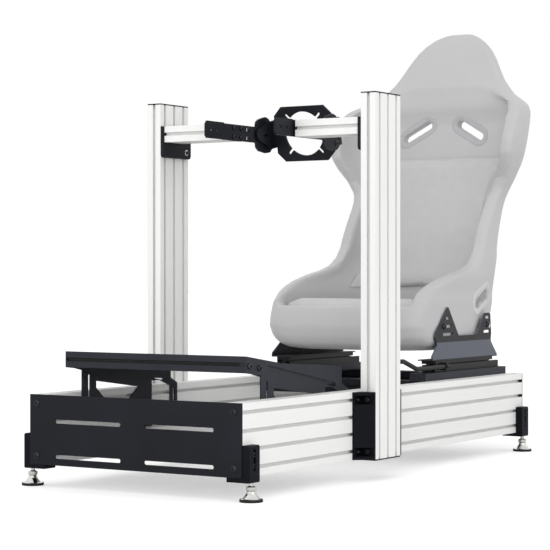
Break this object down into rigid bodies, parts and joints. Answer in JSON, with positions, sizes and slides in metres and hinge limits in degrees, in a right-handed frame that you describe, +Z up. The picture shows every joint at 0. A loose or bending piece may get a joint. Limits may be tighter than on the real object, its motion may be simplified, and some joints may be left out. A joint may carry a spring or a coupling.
{
  "type": "sim racing cockpit",
  "caption": "Slotted-profile driving rig with a front plate, uprights, crossbars, a tilting wheel plate, a raised pedal tray and a bucket seat on sliding rails.",
  "frame": {"origin": "centre of the bounding box in X and Y, on the floor under the levelling feet", "axes": "+Z up, the driver faces -Y, +X is the driver's left; mirror symmetric about X = 0 apart from the seat's release lever"},
  "size_m": [0.66, 1.624, 1.181],
  "materials": {
    "white_profile": "white powder coat",
    "black_metal": "satin powder coat",
    "grey_black_metal": "satin powder coat",
    "dark_steel": "semi-gloss",
    "black_plastic": "matte",
    "bright_metal": "polished",
    "seat_body": "satin",
    "seat_cloth": "matte"
  },
  "bodies": {
    "frame": {"left_base_rail": "white_profile", "right_base_rail": "white_profile", "left_rail_cap": "black_plastic", "right_rail_cap": "black_plastic", "front_plate": "black_metal", "front_left_foot_bracket": "black_metal", "front_right_foot_bracket": "black_metal", "rear_left_foot_bracket": "black_metal", "rear_right_foot_bracket": "black_metal", "front_left_foot": "bright_metal", "front_right_foot": "bright_metal", "rear_left_foot": "bright_metal", "rear_right_foot": "bright_metal", "left_upright": "white_profile", "right_upright": "white_profile", "left_upright_cap": "black_plastic", "right_upright_cap": "black_plastic", "left_front_corner_bracket": "black_metal", "right_front_corner_bracket": "black_metal", "left_rear_corner_bracket": "black_metal", "right_rear_corner_bracket": "black_metal", "left_crossbar": "white_profile", "right_crossbar": "white_profile", "left_crossbar_plate": "black_metal", "right_crossbar_plate": "black_metal", "left_mount_arm": "black_metal", "right_mount_arm": "black_metal", "pedal_tray": "grey_black_metal", "left_pedal_side": "grey_black_metal", "right_pedal_side": "grey_black_metal", "front_cross_member": "black_metal", "rear_cross_member": "black_metal", "left_seat_support": "grey_black_metal", "right_seat_support": "grey_black_metal", "left_slider_rail": "dark_steel", "right_slider_rail": "dark_steel"},
    "seat": {"left_slider_carriage": "dark_steel", "right_slider_carriage": "dark_steel", "left_seat_bracket": "grey_black_metal", "right_seat_bracket": "grey_black_metal", "seat_shell": "seat_body", "seat_cushion": "seat_cloth", "back_cushion": "seat_cloth"},
    "lever": {"release_lever": "dark_steel"},
    "wheel_bracket": {"wheel_plate": "black_metal"}
  },
  "joints": [
    {"name": "seat_slide", "type": "slide", "parent": "frame", "child": "seat", "axis": [0, 1, 0], "range_m": [-0.09, 0.07]},
    {"name": "lever_lift", "type": "hinge", "parent": "seat", "child": "lever", "pos_m": [0.248, 0.2135, 0.245], "axis": [-1, 0, 0], "range_deg": [0, 6], "stiffness_Nm_per_rad": 1.5, "springref_deg": -8.59},
    {"name": "wheel_tilt", "type": "hinge", "parent": "frame", "child": "wheel_bracket", "pos_m": [0, -0.1445, 0.837], "axis": [1, 0, 0], "range_deg": [-10, 10]}
  ]
}
